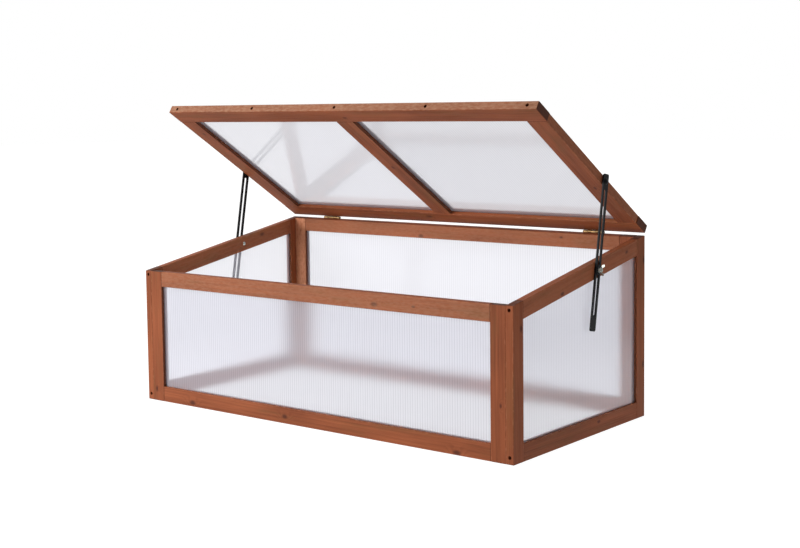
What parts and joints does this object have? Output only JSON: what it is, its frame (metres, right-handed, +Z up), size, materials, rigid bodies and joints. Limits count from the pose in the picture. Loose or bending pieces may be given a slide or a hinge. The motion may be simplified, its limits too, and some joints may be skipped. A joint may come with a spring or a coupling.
{
  "type": "cold frame",
  "caption": "Low timber cold frame glazed with twin-wall sheets, with a sloping lid hinged at the back and held open by slotted stays with wing nuts.",
  "frame": {"origin": "on the ground, in the middle of the box", "axes": "+X to the right seen from the front, +Y from the front to the hinged back, +Z up"},
  "size_m": [1.0362, 0.5108, 0.6684],
  "materials": {
    "stained_wood": "reddish-brown stain on planed softwood",
    "beech": "bare",
    "clear_sheet": "translucent twin-wall sheet",
    "black_steel": "black, satin",
    "zinc": "zinc plated",
    "brass": "satin"
  },
  "bodies": {
    "frame": {"front_left_stile": "stained_wood", "front_right_stile": "stained_wood", "front_top_rail": "stained_wood", "front_bottom_rail": "stained_wood", "front_sheet": "clear_sheet", "back_left_stile": "stained_wood", "back_right_stile": "stained_wood", "back_top_rail": "stained_wood", "back_bottom_rail": "stained_wood", "back_sheet": "clear_sheet", "left_front_stile": "stained_wood", "left_back_stile": "stained_wood", "left_top_rail": "stained_wood", "left_bottom_rail": "stained_wood", "left_sheet": "clear_sheet", "right_front_stile": "stained_wood", "right_back_stile": "stained_wood", "right_top_rail": "stained_wood", "right_bottom_rail": "stained_wood", "right_sheet": "clear_sheet", "front_dowels": "beech", "back_dowels": "beech", "corner_dowels": "beech", "front_edge_screws": "zinc", "back_edge_screws": "zinc", "left_hinge_box_leaf": "brass", "left_hinge_pin": "brass", "right_hinge_box_leaf": "brass", "right_hinge_pin": "brass", "hinge_box_screws": "brass", "left_stay_bolt": "zinc", "left_stay_washers": "black_steel", "right_stay_bolt": "zinc", "right_stay_washers": "black_steel"},
    "lid": {"lid_front_rail": "stained_wood", "lid_back_rail": "stained_wood", "lid_left_stile": "stained_wood", "lid_right_stile": "stained_wood", "lid_centre_bar": "stained_wood", "lid_left_sheet": "clear_sheet", "lid_right_sheet": "clear_sheet", "lid_front_screws": "zinc", "lid_back_screws": "zinc", "left_hinge_lid_leaf": "brass", "right_hinge_lid_leaf": "brass", "hinge_lid_screws": "brass", "left_pivot_screw": "black_steel", "left_pivot_spacer": "black_steel", "right_pivot_screw": "black_steel", "right_pivot_spacer": "black_steel"},
    "left_stay": {"left_stay_bar": "black_steel"},
    "right_stay": {"right_stay_bar": "black_steel"},
    "left_nut": {"left_wing_nut": "zinc"},
    "right_nut": {"right_wing_nut": "zinc"}
  },
  "joints": [
    {"name": "lid_hinge", "type": "hinge", "parent": "frame", "child": "lid", "pos_m": [0, 0.253, 0.3865], "axis": [-1, 0, 0], "range_deg": [-42.5, 27.5]},
    {"name": "left_stay_pivot", "type": "hinge", "parent": "lid", "child": "left_stay", "pos_m": [-0.5, 0.08103, 0.50703], "axis": [-1, 0, 0], "range_deg": [-14, 21.5]},
    {"name": "right_stay_pivot", "type": "hinge", "parent": "lid", "child": "right_stay", "pos_m": [0.5, 0.08103, 0.50703], "axis": [-1, 0, 0], "range_deg": [-14, 21.5]},
    {"name": "left_nut_turn", "type": "hinge", "parent": "frame", "child": "left_nut", "pos_m": [-0.5, 0.05015, 0.33216], "axis": [-1, 0, 0], "continuous": true},
    {"name": "right_nut_turn", "type": "hinge", "parent": "frame", "child": "right_nut", "pos_m": [0.5, 0.05015, 0.33216], "axis": [1, 0, 0], "continuous": true}
  ],
  "couplings": [
    {"joint": "left_stay_pivot", "follows": "lid_hinge", "ratio": -0.5},
    {"joint": "right_stay_pivot", "follows": "lid_hinge", "ratio": -0.5}
  ]
}
